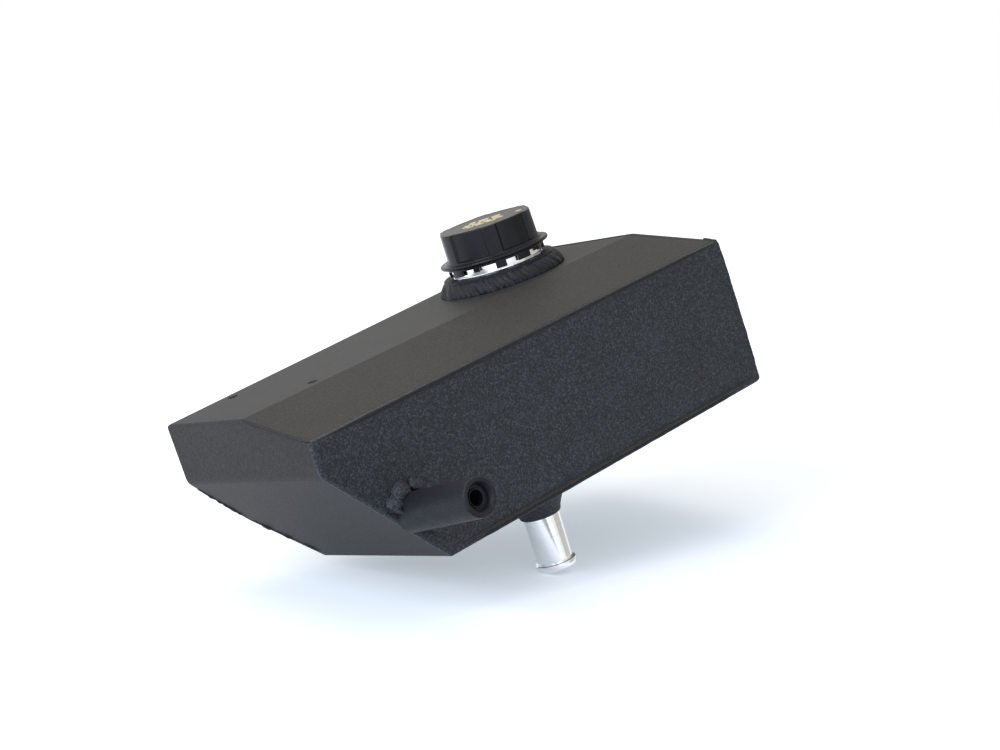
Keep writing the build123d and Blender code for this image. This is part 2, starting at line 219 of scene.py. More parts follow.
# Adds one node, sets its values and fills its inputs with numbers or other nodes' outputs
def addNode(tree, kind, inputs=None, stops=(), **values):
    node = tree.nodes.new(kind)
    for key, value in values.items():
        setattr(node, key, value)
    for key, value in (inputs or {}).items():
        if isinstance(value, bpy.types.NodeSocket):
            tree.links.new(value, node.inputs[key])
        else:
            node.inputs[key].default_value = value
    for number, (position, hexCode) in enumerate(stops):
        if number > 1:
            node.color_ramp.elements.new(position)
        node.color_ramp.elements[number].position = position
        node.color_ramp.elements[number].color = linearColour(hexCode)
    return node


# An empty material, its node tree and the place on the piece that its patterns are drawn at
def startMaterial(name):
    material = bpy.data.materials.new(name)
    material.use_nodes = True
    material.node_tree.nodes.clear()
    spot = addNode(material.node_tree, "ShaderNodeTexCoord").outputs["Object"]
    return material, material.node_tree, spot


# Epoxy powder coat baked to a coarse grit. Its colour follows the grit's height: painted shade in the hollows and a
# painted highlight on the small crests, under a slow random swell
def makeCoarseCoat():
    size = {"grit": 0.95, "swell": 26.0, "depth": 0.3}
    material, tree, spot = startMaterial("coarsePowderCoat")
    grit = addNode(tree, "ShaderNodeTexNoise", {"Vector": spot, "Scale": 1 / (size["grit"] * mm), "Detail": 1.0,
                   "Roughness": 0.7})
    swell = addNode(tree, "ShaderNodeTexNoise", {"Vector": spot, "Scale": 1 / (size["swell"] * mm), "Detail": 2.0})
    both = addNode(tree, "ShaderNodeMix", {"Factor": 0.1, "A": grit.outputs["Fac"], "B": swell.outputs["Fac"]})
    bump = addNode(tree, "ShaderNodeBump", {"Height": both.outputs[0],
                   "Distance": size["depth"] * mm, "Strength": 1.0})
    # Colour from the grit's height: painted shade in its hollows, painted highlight on its crests
    tone = addNode(tree, "ShaderNodeValToRGB", {"Fac": both.outputs[0]},
                   stops=[(0.34, "1b1e21"), (0.52, "2b2f34"), (0.7, "484d53")])
    dull = addNode(tree, "ShaderNodeMapRange", {"Value": grit.outputs["Fac"], "To Min": 0.66, "To Max": 0.5})
    shader = addNode(tree, "ShaderNodeBsdfPrincipled", {"Base Color": tone.outputs[0], "Normal": bump.outputs[0],
                     "Roughness": dull.outputs[0], "IOR": 1.5, "Specular IOR Level": 0.28})
    addNode(tree, "ShaderNodeOutputMaterial", {"Surface": shader.outputs[0]})
    return material


# The same powder coat laid thin and even: a matt grain like fine sandpaper, drawn as coarse as it needs to show. Its
# colour follows the grain's height, painted shade in its hollows and painted highlight on its tops, with a slow random
# cloud over it
def makeFineCoat():
    size = {"grain": 1.0, "cloud": 34.0, "depth": 0.12}
    material, tree, spot = startMaterial("fineTexturePowderCoat")
    grain = addNode(tree, "ShaderNodeTexNoise", {"Vector": spot, "Scale": 1 / (size["grain"] * mm), "Detail": 3.0,
                    "Roughness": 0.6})
    cloud = addNode(tree, "ShaderNodeTexNoise", {"Vector": spot, "Scale": 1 / (size["cloud"] * mm), "Detail": 2.0})
    both = addNode(tree, "ShaderNodeMix", {"Factor": 0.2, "A": grain.outputs["Fac"], "B": cloud.outputs["Fac"]})
    bump = addNode(tree, "ShaderNodeBump", {"Height": grain.outputs["Fac"],
                   "Distance": size["depth"] * mm, "Strength": 1.0})
    # Colour mostly from the grain's height: painted shade in its hollows, painted highlight on its tops
    tone = addNode(tree, "ShaderNodeValToRGB", {"Fac": both.outputs[0]}, stops=[(0.36, "151515"), (0.64, "323130")])
    dull = addNode(tree, "ShaderNodeMapRange", {"Value": cloud.outputs["Fac"], "To Min": 0.54, "To Max": 0.62})
    shader = addNode(tree, "ShaderNodeBsdfPrincipled", {"Base Color": tone.outputs[0], "Normal": bump.outputs[0],
                     "Roughness": dull.outputs[0], "IOR": 1.5, "Specular IOR Level": 0.3})
    addNode(tree, "ShaderNodeOutputMaterial", {"Surface": shader.outputs[0]})
    return material


# Powder coat over a hand-laid bead: a little lighter on the fine grain's tops and darker in its hollows, its gloss
# varying in random patches
def makeWeldCoat():
    size = {"grain": 0.9, "patch": 5.0, "depth": 0.3}
    material, tree, spot = startMaterial("coatedWeldBead")
    grain = addNode(tree, "ShaderNodeTexNoise", {"Vector": spot, "Scale": 1 / (size["grain"] * mm), "Detail": 3.0})
    patch = addNode(tree, "ShaderNodeTexNoise", {"Vector": spot, "Scale": 1 / (size["patch"] * mm), "Detail": 2.0})
    bump = addNode(tree, "ShaderNodeBump", {"Height": grain.outputs["Fac"],
                   "Distance": size["depth"] * mm, "Strength": 1.0})
    tone = addNode(tree, "ShaderNodeValToRGB", {"Fac": grain.outputs["Fac"]},
                   stops=[(0.3, "0f1115"), (0.7, "1f2329")])
    dull = addNode(tree, "ShaderNodeMapRange", {"Value": patch.outputs["Fac"], "To Min": 0.42, "To Max": 0.62})
    shader = addNode(tree, "ShaderNodeBsdfPrincipled", {"Base Color": tone.outputs[0], "Normal": bump.outputs[0],
                     "Roughness": dull.outputs[0], "IOR": 1.5, "Specular IOR Level": 0.24})
    addNode(tree, "ShaderNodeOutputMaterial", {"Surface": shader.outputs[0]})
    return material


# Bright turned aluminium: fine rings left by the tool, which draw its reflections out
def makeTurnedMetal():
    size = {"ring": 0.5, "wavesPerMetreAround": 30.0, "depth": 0.002}
    material, tree, spot = startMaterial("turnedAluminium")
    around = size["wavesPerMetreAround"]
    drawn = addNode(tree, "ShaderNodeMapping", {"Vector": spot, "Scale": (around, around, 1 / (size["ring"] * mm))})
    rings = addNode(tree, "ShaderNodeTexNoise", {"Vector": drawn.outputs[0], "Scale": 1.0, "Detail": 2.0})
    bump = addNode(tree, "ShaderNodeBump", {"Height": rings.outputs["Fac"],
                   "Distance": size["depth"] * mm, "Strength": 1.0})
    tone = addNode(tree, "ShaderNodeValToRGB", {"Fac": rings.outputs["Fac"]},
                   stops=[(0.3, "e4e6e8"), (0.7, "eff0f1")])
    dull = addNode(tree, "ShaderNodeMapRange", {"Value": rings.outputs["Fac"], "To Min": 0.1, "To Max": 0.16})
    shader = addNode(tree, "ShaderNodeBsdfPrincipled", {"Base Color": tone.outputs[0], "Normal": bump.outputs[0],
                     "Roughness": dull.outputs[0], "Metallic": 1.0})
    addNode(tree, "ShaderNodeOutputMaterial", {"Surface": shader.outputs[0]})
    return material


# Rolled aluminium sheet as it comes from the mill: long faint rolling lines
def makeMillSheet():
    size = {"line": 0.6, "wavesPerMetreAlong": 20.0, "depth": 0.01}
    material, tree, spot = startMaterial("millFinishSheet")
    across = 1 / (size["line"] * mm)
    drawn = addNode(tree, "ShaderNodeMapping", {"Vector": spot, "Scale": (across, size["wavesPerMetreAlong"], across)})
    lines = addNode(tree, "ShaderNodeTexNoise", {"Vector": drawn.outputs[0], "Scale": 1.0, "Detail": 2.0})
    bump = addNode(tree, "ShaderNodeBump", {"Height": lines.outputs["Fac"],
                   "Distance": size["depth"] * mm, "Strength": 1.0})
    tone = addNode(tree, "ShaderNodeValToRGB", {"Fac": lines.outputs["Fac"]},
                   stops=[(0.3, "c4c6c9"), (0.7, "d6d8da")])
    shader = addNode(tree, "ShaderNodeBsdfPrincipled", {"Base Color": tone.outputs[0], "Normal": bump.outputs[0],
                     "Roughness": 0.38, "Metallic": 1.0})
    addNode(tree, "ShaderNodeOutputMaterial", {"Surface": shader.outputs[0]})
    return material


# Injection-moulded nylon: half-gloss black with the faint flow of the mould and a fine spark-eroded grain
def makeCapMoulding():
    size = {"flow": 6.0, "grain": 0.7, "depth": 0.03}
    material, tree, spot = startMaterial("mouldedNylon")
    flow = addNode(tree, "ShaderNodeTexNoise", {"Vector": spot, "Scale": 1 / (size["flow"] * mm), "Detail": 2.0})
    grain = addNode(tree, "ShaderNodeTexNoise", {"Vector": spot, "Scale": 1 / (size["grain"] * mm), "Detail": 2.0})
    bump = addNode(tree, "ShaderNodeBump", {"Height": grain.outputs["Fac"],
                   "Distance": size["depth"] * mm, "Strength": 1.0})
    tone = addNode(tree, "ShaderNodeValToRGB", {"Fac": flow.outputs["Fac"]},
                   stops=[(0.3, "07090e"), (0.7, "0f1219")])
    dull = addNode(tree, "ShaderNodeMapRange", {"Value": flow.outputs["Fac"], "To Min": 0.24, "To Max": 0.32})
    shader = addNode(tree, "ShaderNodeBsdfPrincipled", {"Base Color": tone.outputs[0], "Normal": bump.outputs[0],
                     "Roughness": dull.outputs[0], "IOR": 1.53, "Specular IOR Level": 0.22})
    addNode(tree, "ShaderNodeOutputMaterial", {"Surface": shader.outputs[0]})
    return material


# Moulded acetal: matt black and slightly waxy
def makeCoreMoulding():
    size = {"grain": 0.5, "depth": 0.02}
    material, tree, spot = startMaterial("mouldedAcetal")
    grain = addNode(tree, "ShaderNodeTexNoise", {"Vector": spot, "Scale": 1 / (size["grain"] * mm), "Detail": 2.0})
    bump = addNode(tree, "ShaderNodeBump", {"Height": grain.outputs["Fac"],
                   "Distance": size["depth"] * mm, "Strength": 1.0})
    tone = addNode(tree, "ShaderNodeValToRGB", {"Fac": grain.outputs["Fac"]},
                   stops=[(0.3, "191a1c"), (0.7, "242527")])
    shader = addNode(tree, "ShaderNodeBsdfPrincipled", {"Base Color": tone.outputs[0], "Normal": bump.outputs[0],
                     "Roughness": 0.5, "IOR": 1.48})
    addNode(tree, "ShaderNodeOutputMaterial", {"Surface": shader.outputs[0]})
    return material


# Moulded nitrile rubber: dull and nearly black
def makeSealRubber():
    size = {"grain": 0.4, "depth": 0.02}
    material, tree, spot = startMaterial("nitrileRubber")
    grain = addNode(tree, "ShaderNodeTexNoise", {"Vector": spot, "Scale": 1 / (size["grain"] * mm), "Detail": 2.0})
    bump = addNode(tree, "ShaderNodeBump", {"Height": grain.outputs["Fac"],
                   "Distance": size["depth"] * mm, "Strength": 1.0})
    tone = addNode(tree, "ShaderNodeValToRGB", {"Fac": grain.outputs["Fac"]},
                   stops=[(0.3, "141415"), (0.7, "1e1e1f")])
    shader = addNode(tree, "ShaderNodeBsdfPrincipled", {"Base Color": tone.outputs[0], "Normal": bump.outputs[0],
                     "Roughness": 0.8, "IOR": 1.52})
    addNode(tree, "ShaderNodeOutputMaterial", {"Surface": shader.outputs[0]})
    return material


# Turned brass: yellow, with the tool's rings
def makeBrass():
    size = {"ring": 0.3, "depth": 0.008}
    material, tree, spot = startMaterial("turnedBrass")
    rings = addNode(tree, "ShaderNodeTexNoise", {"Vector": spot, "Scale": 1 / (size["ring"] * mm), "Detail": 2.0})
    bump = addNode(tree, "ShaderNodeBump", {"Height": rings.outputs["Fac"],
                   "Distance": size["depth"] * mm, "Strength": 1.0})
    tone = addNode(tree, "ShaderNodeValToRGB", {"Fac": rings.outputs["Fac"]},
                   stops=[(0.3, "c9a35a"), (0.7, "dcb86c")])
    shader = addNode(tree, "ShaderNodeBsdfPrincipled", {"Base Color": tone.outputs[0], "Normal": bump.outputs[0],
                     "Roughness": 0.28, "Metallic": 1.0})
    addNode(tree, "ShaderNodeOutputMaterial", {"Surface": shader.outputs[0]})
    return material


# Drawn spring steel: grey wire with light draw marks
def makeSpringWire():
    size = {"mark": 0.25, "depth": 0.008}
    material, tree, spot = startMaterial("drawnSpringSteel")
    marks = addNode(tree, "ShaderNodeTexNoise", {"Vector": spot, "Scale": 1 / (size["mark"] * mm), "Detail": 1.0})
    bump = addNode(tree, "ShaderNodeBump", {"Height": marks.outputs["Fac"],
                   "Distance": size["depth"] * mm, "Strength": 1.0})
    tone = addNode(tree, "ShaderNodeValToRGB", {"Fac": marks.outputs["Fac"]},
                   stops=[(0.3, "a9abae"), (0.7, "c2c4c6")])
    shader = addNode(tree, "ShaderNodeBsdfPrincipled", {"Base Color": tone.outputs[0], "Normal": bump.outputs[0],
                     "Roughness": 0.32, "Metallic": 1.0})
    addNode(tree, "ShaderNodeOutputMaterial", {"Surface": shader.outputs[0]})
    return material


# Pad-printed ink with a metallic pigment: pale gold, a little broken where it is thin
def makeGoldInk():
    size = {"speck": 0.5}
    material, tree, spot = startMaterial("goldPrintInk")
    speck = addNode(tree, "ShaderNodeTexNoise", {"Vector": spot, "Scale": 1 / (size["speck"] * mm), "Detail": 2.0})
    tone = addNode(tree, "ShaderNodeValToRGB", {"Fac": speck.outputs["Fac"]},
                   stops=[(0.3, "c6b478"), (0.7, "f6eac4")])
    dull = addNode(tree, "ShaderNodeMapRange", {"Value": speck.outputs["Fac"], "To Min": 0.38, "To Max": 0.5})
    shader = addNode(tree, "ShaderNodeBsdfPrincipled", {"Base Color": tone.outputs[0],
                     "Roughness": dull.outputs[0], "Metallic": 0.1})
    addNode(tree, "ShaderNodeOutputMaterial", {"Surface": shader.outputs[0]})
    return material


coarseCoat = makeCoarseCoat()
fineCoat = makeFineCoat()
weldCoat = makeWeldCoat()
turnedMetal = makeTurnedMetal()
millSheet = makeMillSheet()
capMoulding = makeCapMoulding()
coreMoulding = makeCoreMoulding()
sealRubber = makeSealRubber()
brass = makeBrass()
springWire = makeSpringWire()
goldInk = makeGoldInk()
print("finishes made")

# CAD nodes whose shape is right: each is copied, merged and smoothed under its real finish
dressed = [
    ("front_panel", "frontPanelCoated", "tank", "coarse_coat", coarseCoat),
    ("top_panel", "topPanelCoated", "tank", "fine_coat", fineCoat),
    ("back_panel", "backPanelCoated", "tank", "fine_coat", fineCoat),
    ("left_end_panel", "leftEndCoated", "tank", "fine_coat", fineCoat),
    ("right_end_panel", "rightEndCoated", "tank", "fine_coat", fineCoat),
    ("bottom_panel", "bottomPanelCoated", "tank", "fine_coat", fineCoat),
    ("baffle_plate", "baffleSheet", "tank", "bare_sheet", millSheet),
    ("cap_core", "capCoreMoulded", "cap_core", "core_moulding", coreMoulding),
    ("core_ring", "coreRingMoulded", "cap_core", "seal_rubber", sealRubber),
    ("cap_gasket", "capGasketMoulded", "cap_core", "seal_rubber", sealRubber),
    ("spring_retainer", "springRetainerMoulded", "cap_core", "core_moulding", coreMoulding),
    ("pressure_valve", "pressureValveTurned", "pressure_valve", "valve_brass", brass),
    ("pressure_gasket", "pressureGasketMoulded", "pressure_valve", "seal_rubber", sealRubber),
    ("vacuum_valve", "vacuumValveTurned", "vacuum_valve", "valve_brass", brass),
]
# The far lower corner, ground round after welding: each sheet that meets there is cut by a fan of planes
corner = {"nodes": ("front_panel", "right_end_panel", "bottom_panel"), "round": 5.5, "angles": (10, 26, 45, 64, 80)}
for nodeName, pieceName, body, slotName, material in dressed:
    piece = copyPiece(nodes[nodeName], pieceName)
    startEdit(piece, "VERT")
    bpy.ops.mesh.select_all(action="SELECT")
    bpy.ops.mesh.remove_doubles(threshold=mergeGap["copied"] * mm)
    for angle in corner["angles"] if nodeName in corner["nodes"] else ():
        way = Vector((math.cos(math.radians(angle)), 0, -math.sin(math.radians(angle))))
        roundMiddle = place(tank["length"] - corner["round"], 0, corner["round"])
        trimPiece(piece, roundMiddle + way * corner["round"] * mm, way)
    finishPiece(piece, body, [material], [nodeName])
print("sheets and small parts dressed")


# How far a point lies from an upright axis, in millimetres
def reachOf(point, centre):
    return (point - centre).to_2d().length / mm


# Which way a point lies from an upright axis, in degrees
def azimuth(point, centre):
    return math.degrees(math.atan2(point.y - centre.y, point.x - centre.x))


# True where an azimuth lies within half a width of one of some evenly spaced places
def nearPlace(angle, first, count, width):
    step = 360 / count
    off = (angle - first + step / 2) % step - step / 2
    return abs(off) < width / 2


# The cap: a grip with six sunk panels open to its top edge, a thin flange and a ring of broken teeth under it
def makeCap():
    size = {"foot": 112.4, "grip": 27.95, "panelFoot": 3.4, "panels": 6, "panelAngle": 42.0, "panelDepth": 1.5,
            "panelReach": 24.2, "ribTurn": -6.7, "teeth": 12, "toothAngles": (19.0, 9.0, 14.0),
            "toothDrop": (3.0, 2.2, 3.4), "toothRing": (26.3, 27.9), "skirt": 1.6, "edge": 0.32, "level": 0.05}
    centre = place(neck["x"], neck["y"], size["foot"])
    outline = [(23.6, 16.8), (23.6, 0.5), (24.1, 0), (26.3, 0), (27.9, 0), (31.0, 0), (31.35, 0.25), (31.5, 0.7)]
    outline += [(31.5, 1.3), (31.3, 1.75), (30.9, 2.0), (29.0, 2.0), (28.4, 2.2), (28.05, 2.6), (27.95, 3.2)]
    outline += [(27.93, 3.7), (27.65, 18.2), (27.5, 18.8), (27.2, 19.1), (26.8, 19.27), (26.3, 19.3)]
    outline += [(25.2, 19.3), (25.0, 19.15)]
    piece = turnPiece("capMoulded", centre, outline, steps=144, solid=True)
    startEdit(piece, "VERT")
    low = centre.z + size["panelFoot"] * mm
    first = size["ribTurn"] + 180 / size["panels"]
    share = 1 - size["panelDepth"] / size["grip"]
    selectPoints(piece, lambda point: point.z > low and reachOf(point, centre) > size["panelReach"]
                 and nearPlace(azimuth(point, centre), first, size["panels"], size["panelAngle"]))
    bpy.ops.transform.resize(value=(share, share, 1), center_override=centre)
    startEdit(piece)
    inner, outer = size["toothRing"]
    level = size["level"] * mm
    selectFaces(piece, lambda point: abs(point.z - centre.z) < level and inner < reachOf(point, centre) < outer)
    bpy.ops.mesh.extrude_region_move(TRANSFORM_OT_translate={"value": (0, 0, -size["skirt"] * mm)})
    foot = centre.z - size["skirt"] * mm
    for number in range(size["teeth"]):
        width = size["toothAngles"][number % len(size["toothAngles"])]
        drop = size["toothDrop"][number % len(size["toothDrop"])]
        spot = size["ribTurn"] + number * 360 / size["teeth"]
        selectFaces(piece, lambda point: abs(point.z - foot) < level and inner < reachOf(point, centre) < outer
                    and nearPlace(azimuth(point, centre), spot, 1, width))
        bpy.ops.mesh.extrude_region_move(TRANSFORM_OT_translate={"value": (0, 0, -drop * mm)})
    closeMesh(piece)
    applyModifier(piece, "BEVEL", width=size["edge"] * mm, segments=2, limit_method="ANGLE",
                  angle_limit=math.radians(30))
    finishPiece(piece, "cap_shell", [capMoulding], ["cap_shell"], angle=40)


# Plain gold strokes printed flat on the cap's top: four short rows in the middle and one mark at the edge.
# Each row is its place across the print, its width, and the place along it and length of each stroke.
def makeCapPrint():
    size = {"height": 131.55, "thickness": 0.06, "turn": -45.4, "rounding": 0.35, "rows": [
        (-8.6, 3.0, [(-7.6, 4.2), (-2.0, 5.4), (4.4, 5.8)]),
        (-4.0, 3.8, [(-10.2, 4.6), (-4.2, 5.8), (2.2, 4.6), (8.4, 6.0)]),
        (1.2, 3.0, [(-8.4, 6.4), (-0.6, 6.8), (7.2, 5.4)]),
        (6.4, 3.8, [(-7.0, 4.6), (-0.6, 6.4), (6.6, 5.6)]),
        (-1.2, 3.6, [(20.2, 3.6)])]}
    turn = Matrix.Rotation(math.radians(size["turn"]), 4, "Z")
    middle = place(neck["x"], neck["y"], size["height"])
    parts = []
    for across, width, strokes in size["rows"]:
        for along, length in strokes:
            pick()
            bpy.ops.mesh.primitive_plane_add(size=mm)
            stroke = bpy.context.object
            startEdit(stroke)
            bpy.ops.transform.resize(value=(length, width, 1), center_override=(0, 0, 0))
            bpy.ops.mesh.bevel(offset=width * size["rounding"] * mm, segments=3, affect="VERTICES")
            bpy.ops.mesh.select_all(action="SELECT")
            bpy.ops.mesh.extrude_region_move(TRANSFORM_OT_translate={"value": (0, 0, size["thickness"] * mm)})
            inPrint = Matrix.Translation(Vector((along, across, 0)) * mm)
            applyPlace(stroke, Matrix.Translation(middle) @ turn @ inPrint)
            parts.append(stroke)
    piece = joinPieces("capPrint", parts)
    closeMesh(piece)
    finishPiece(piece, "cap_shell", [goldInk])


makeCap()
makeCapPrint()
print("cap made")


# Filler neck, turned in one: coated collar, bright band and a thread of two turns
def makeNeck():
    size = {"root": 22.5, "threadFoot": 16.6, "threadRise": 8.0, "threadTurns": 2.0, "ridge": (1.0, 1.25),
            "coatTop": 8.75, "coatReach": 26.0}
    centre = place(neck["x"], neck["y"], tank["topHeight"])
    root = size["root"]
    outline = [(20.0, -5.0), (28.9, -5.0), (28.9, 0.05), (32.2, 0.05), (32.2, 7.9), (32.0, 8.4), (31.5, 8.7)]
    outline += [(26.1, 8.7), (25.7, 8.9), (25.6, 9.3), (25.6, 14.1), (25.4, 14.5), (24.9, 14.7), (root + 0.3, 14.7)]
    outline += [(root, 15.0), (root, 26.0), (root - 0.4, 26.6), (root - 0.9, 26.9), (20.6, 26.9)]
    outline += [(20.1, 26.7), (20.0, 26.3)]
    body = turnPiece("neckBody", centre, outline, steps=120)
    foot = centre + Vector((0, 0, size["threadFoot"] * mm))
    ridge = windPiece("neckRidge", foot, root, size["ridge"], sides=4, rise=size["threadRise"],
                      turns=size["threadTurns"], stepsPerTurn=60)
    piece = joinPieces("fillerNeckTurned", [body, ridge])
    finishPiece(piece, "tank", [turnedMetal, weldCoat], ["filler_neck"])
    coatTop = centre.z + size["coatTop"] * mm
    coatFaces(piece, lambda point: point.z < coatTop and reachOf(point, centre) > size["coatReach"])


# One laid ripple of a bead: a drop of 1 mm, blunter on its outer side
def makeRipple():
    size = {"bluntFrom": 0.5, "blunt": (0.8, 0.9, 0.9)}
    pick()
    bpy.ops.mesh.primitive_uv_sphere_add(segments=12, ring_count=8, radius=mm)
    ripple = bpy.context.object
    startEdit(ripple, "VERT")
    selectPoints(ripple, lambda point: point.x > size["bluntFrom"] * mm)
    bpy.ops.transform.resize(value=size["blunt"], center_override=(0, 0, 0))
    pick(ripple)
    return ripple


# A bead around a round part: its foot ring, ripples laid over it side by side, then fused into one skin.
# Chance moves, turns and swells each ripple a little, so the bead looks laid by hand.
def layBead(name, centre, outline, bead):
    sway = {"reach": 0.3, "height": 0.35}
    random.seed(bead["seed"])
    parts = [turnPiece(name, centre, outline, steps=96)]
    ripple = makeRipple()
    for number in range(bead["ripples"]):
        angle = math.radians(number * 360 / bead["ripples"] + random.uniform(-1, 1) * bead["wander"])
        reach = (bead["reach"] + random.uniform(-sway["reach"], sway["reach"])) * mm
        height = (bead["height"] + random.uniform(-sway["height"], sway["height"])) * mm
        swell = 1 + random.uniform(0, bead["swell"])
        turn = Matrix.Rotation(angle, 4, "Z") @ Matrix.Rotation(math.radians(bead["skew"]), 4, "X")
        turn = turn @ Matrix.Rotation(math.radians(bead["lean"]), 4, "Y")
        twin = copyPiece(ripple, name + str(number))
        spot = centre + Vector((math.cos(angle) * reach, math.sin(angle) * reach, height))
        stretch = Matrix.Diagonal((*(side * swell for side in bead["size"]), 1))
        applyPlace(twin, Matrix.Translation(spot) @ turn @ stretch)
        parts.append(twin)
    bpy.data.objects.remove(ripple)
    piece = joinPieces(name, parts)
    applyModifier(piece, "REMESH", mode="VOXEL", voxel_size=bead["skin"] * mm)
    applyModifier(piece, "SMOOTH", factor=0.5, iterations=2)
    return piece


def makeNeckWeld():
    bead = {"ripples": 60, "reach": 33.7, "height": 3.2, "lean": -27.0, "skew": 34.0, "size": (1.9, 1.7, 4.7),
            "wander": 1.8, "swell": 0.22, "skin": 0.4, "seed": 4}
    outline = [(31.9, 0.02), (35.9, 0.02), (35.3, 1.0), (34.3, 2.9), (33.2, 5.2), (32.6, 6.6), (31.9, 7.2)]
    piece = layBead("neckWeldBead", place(neck["x"], neck["y"], tank["topHeight"]), outline, bead)
    finishPiece(piece, "tank", [weldCoat], ["neck_weld"], angle=80)


makeNeck()
makeNeckWeld()
print("neck made")


# Outlet under the tank: a coated bung, its wide bead and the bright tube with a raised lip
def makeOutlet():
    bead = {"ripples": 26, "reach": 14.2, "height": -3.4, "lean": 45.0, "skew": 12.0, "size": (1.3, 2.4, 5.2),
            "wander": 1.5, "swell": 0.1, "skin": 0.42, "seed": 7}
    centre = place(outlet["x"], outlet["y"], 0)
    outline = [(10.1, 4.0), (10.1, -12.3), (10.25, -12.8), (10.6, -13.0), (11.1, -12.6), (11.5, -11.6), (11.8, -10.2)]
    outline += [(11.9, -8.8), (11.9, 4.0)]
    bung = turnPiece("outletBungCoated", centre, outline, steps=72)
    finishPiece(bung, "tank", [coarseCoat], ["outlet_bung"])
    outline = [(11.6, -0.02), (20.6, -0.02), (18.6, -1.0), (16.4, -2.8), (14.6, -5.0), (13.2, -7.4)]
    outline += [(12.3, -9.4), (11.7, -10.4)]
    weld = layBead("outletWeldBead", centre, outline, bead)
    finishPiece(weld, "tank", [coarseCoat], ["outlet_weld"], angle=80)
    outline = [(8.0, -42.2), (8.3, -42.5), (10.5, -42.5), (10.95, -42.3), (11.2, -41.9), (11.2, -39.4)]
    outline += [(11.05, -38.9), (10.7, -38.6), (10.1, -38.55), (9.65, -38.5), (9.6, -38.2), (9.75, -37.8)]
    outline += [(9.8, -37.4), (9.8, 2.0), (8.0, 2.0)]
    tube = turnPiece("outletTubeTurned", centre, outline, steps=96)
    finishPiece(tube, "tank", [turnedMetal], ["outlet_spigot"])


# Vent port on the front: a coated tube that leans up, a rough bead at its root and a liner deep in its mouth.
# Tube and bead end a little inside the front sheet, and the bead also stops at the left end's slope.
def makePort():
    size = {"inSheet": 0.4, "beadInset": 0.6, "linerRim": 51.45}
    bead = {"ripples": 15, "reach": 13.3, "height": 2.8, "lean": -62.0, "skew": 20.0, "size": (2.8, 3.6, 4.0),
            "wander": 7.0, "swell": 0.4, "skin": 0.45, "seed": 11}
    tilt = Matrix.Rotation(math.radians(90 - port["lift"]), 4, "X")
    lean = Matrix.Translation(place(port["x"], 0, port["z"])) @ tilt
    zero = Vector((0, 0, 0))
    inSheet = place(0, size["inSheet"], 0)
    outline = [(4.6, -2.4), (10.0, -2.4), (10.0, 53.6), (9.85, 54.4), (9.45, 54.9), (8.8, 55.2)]
    outline += [(8.1, 55.2), (7.6, 55.0), (7.2, 54.5), (6.5, 53.4), (6.3, 52.8), (6.3, 51.0), (4.6, 50.7)]
    tube = turnPiece("ventTubeCoated", zero, outline, steps=96)
    applyPlace(tube, lean)
    trimPiece(tube, inSheet, (0, 1, 0))
    # The tube is coated like the sheets, yet takes the darker weld coat: painted shade over the whole tube
    finishPiece(tube, "tank", [weldCoat], ["vent_port"])
    outline = [(9.7, -3.0), (15.8, -3.0), (15.8, 0.5), (13.8, 1.4), (11.6, 1.8), (10.4, 2.2), (9.7, 2.6)]
    weld = layBead("ventWeldBead", zero, outline, bead)
    applyPlace(weld, lean)
    trimPiece(weld, inSheet, (0, 1, 0))
    trimPiece(weld, place(size["beadInset"], 0, tank["cornerHeight"]),
              (-tank["cornerHeight"], 0, -tank["diagonalRun"]))
    finishPiece(weld, "tank", [coarseCoat], ["vent_weld"], angle=80)
    outline = [(4.5, 33.6), (4.5, 51.4), (4.4, 51.6), (4.15, 51.6), (4.0, 51.4), (4.0, 50.6), (4.0, 33.6)]
    liner = turnPiece("ventRestrictorTurned", zero, outline, steps=72)
    applyPlace(liner, lean)
    finishPiece(liner, "tank", [fineCoat, weldCoat], ["vent_restrictor"])
    # Only the rim keeps the fine coat; the rest takes the darker weld coat, painted shade down the bore
    coatFaces(liner, lambda point: (lean.inverted() @ point).z < size["linerRim"] * mm)
